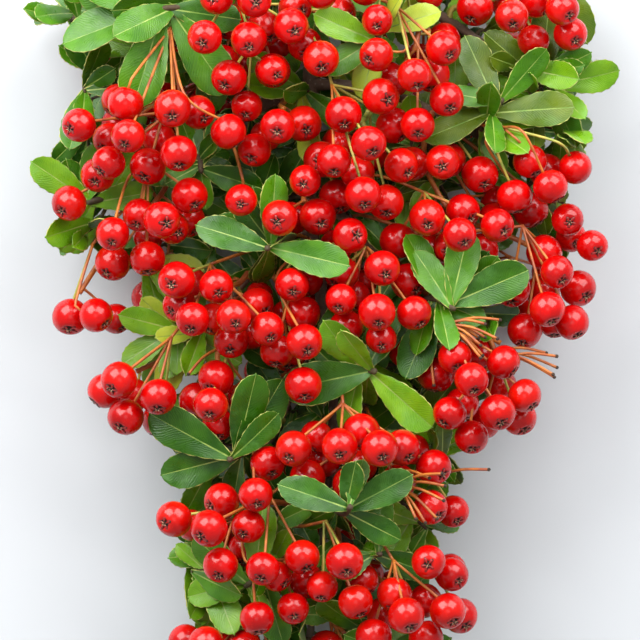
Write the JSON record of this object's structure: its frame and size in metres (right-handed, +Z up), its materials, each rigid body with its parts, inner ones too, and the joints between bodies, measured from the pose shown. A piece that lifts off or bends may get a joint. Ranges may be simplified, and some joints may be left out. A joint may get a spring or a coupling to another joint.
{
  "type": "cut firethorn fruiting branch",
  "caption": "Cut firethorn branch lying down: a woody stem with side boughs that carry clusters of glossy red berries on thin stalks, with sprays of small blunt leaves.",
  "frame": {"origin": "middle of the underside of the bounding box, on the surface that the branch lies on", "axes": "+Y along the main stem towards its cut end, +Z up, which is the side seen in the picture, +X to the right in the picture"},
  "size_m": [0.14, 0.2106, 0.0554],
  "materials": {
    "bark": "rough dark brown bark with pale pores",
    "fruit": "glossy scarlet berries on orange stalks",
    "foliage": "leathery dark green leaves with a soft sheen"
  },
  "bodies": {
    "root": {"bottom_left_bough": "bark", "fruit_back_lower": "fruit", "fruit_back_middle": "fruit", "fruit_back_upper_left": "fruit", "fruit_back_upper_right": "fruit", "fruit_bottom_left": "fruit", "fruit_bottom_right": "fruit", "fruit_bottom_tip": "fruit", "fruit_centre": "fruit", "fruit_centre_left": "fruit", "fruit_centre_right": "fruit", "fruit_centre_upper": "fruit", "fruit_centre_upper_left": "fruit", "fruit_left_middle": "fruit", "fruit_left_pair": "fruit", "fruit_low_centre": "fruit", "fruit_low_left_small": "fruit", "fruit_low_right_pair": "fruit", "fruit_lower_centre": "fruit", "fruit_lower_left": "fruit", "fruit_lower_left_bottom": "fruit", "fruit_lower_left_inner": "fruit", "fruit_middle_pair": "fruit", "fruit_right_inner": "fruit", "fruit_right_lower": "fruit", "fruit_right_middle": "fruit", "fruit_right_upper": "fruit", "fruit_right_upper_inner": "fruit", "fruit_top_left": "fruit", "fruit_top_right": "fruit", "fruit_upper_left": "fruit", "fruit_upper_right_inner": "fruit", "leaves_back_left": "foliage", "leaves_back_right": "foliage", "leaves_bottom_left": "foliage", "leaves_bottom_right": "foliage", "leaves_bottom_tip": "foliage", "leaves_centre_left": "foliage", "leaves_centre_node": "foliage", "leaves_left_edge": "foliage", "leaves_left_light": "foliage", "leaves_left_upper": "foliage", "leaves_low_centre": "foliage", "leaves_low_left": "foliage", "leaves_low_right": "foliage", "leaves_right_edge": "foliage", "leaves_right_node": "foliage", "leaves_top_centre": "foliage", "leaves_top_left": "foliage", "leaves_top_right_centre": "foliage", "leaves_upper_right": "foliage", "left_bough": "bark", "low_left_bough": "bark", "low_right_bough": "bark", "lower_left_bough": "bark", "lower_right_bough": "bark", "main_stem": "bark", "right_bough": "bark", "upper_left_bough": "bark", "upper_right_bough": "bark"}
  },
  "joints": []
}
